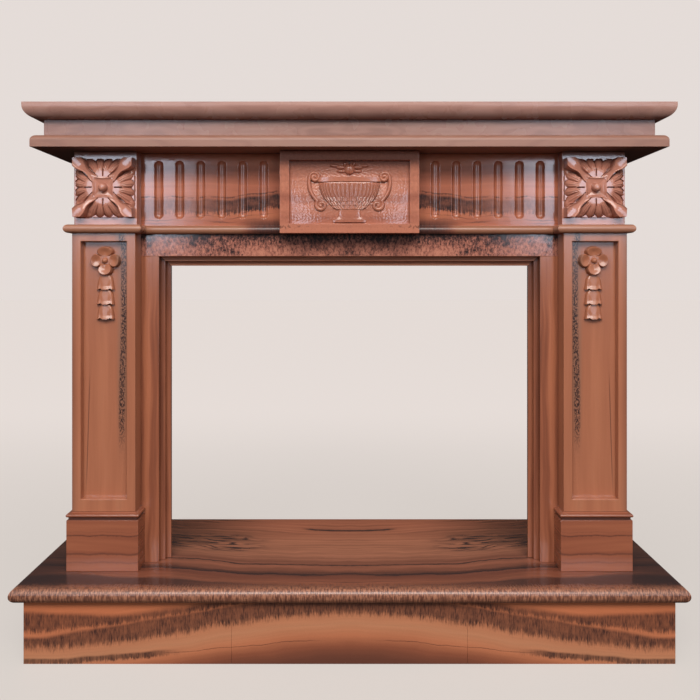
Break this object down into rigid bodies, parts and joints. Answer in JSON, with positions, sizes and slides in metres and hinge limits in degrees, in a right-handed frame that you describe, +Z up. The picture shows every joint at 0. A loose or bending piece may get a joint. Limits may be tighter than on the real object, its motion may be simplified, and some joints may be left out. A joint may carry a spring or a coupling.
{
  "type": "fireplace mantel",
  "caption": "Stone fireplace mantel on a raised hearth, with panelled pilasters, leaf rosettes, fluted frieze, urn tablet and moulded shelf.",
  "frame": {"origin": "bottom centre of the whole, on the floor", "axes": "+X to the right as seen from the room, +Y towards the wall behind, +Z up"},
  "size_m": [1.515, 0.55, 1.2689],
  "materials": {
    "banded_stone": "polished",
    "warm_stone": "polished",
    "dark_stone": "polished",
    "grey_stone": "polished"
  },
  "bodies": {
    "root": {"riser_front_left": "banded_stone", "riser_front_centre": "banded_stone", "riser_front_right": "banded_stone", "riser_side_left": "banded_stone", "riser_side_right": "banded_stone", "hearth_slab": "banded_stone", "plinth_left": "warm_stone", "plinth_right": "warm_stone", "plinth_cap_left": "warm_stone", "plinth_cap_right": "warm_stone", "shaft_left": "warm_stone", "shaft_right": "warm_stone", "capital_left": "warm_stone", "capital_right": "warm_stone", "frieze_left": "warm_stone", "frieze_right": "warm_stone", "tablet": "warm_stone", "architrave": "dark_stone", "jamb_left": "warm_stone", "jamb_right": "warm_stone", "side_panel_left": "warm_stone", "side_panel_right": "warm_stone", "bed_mould": "grey_stone", "fascia": "grey_stone", "mantel_shelf": "grey_stone"}
  },
  "joints": []
}
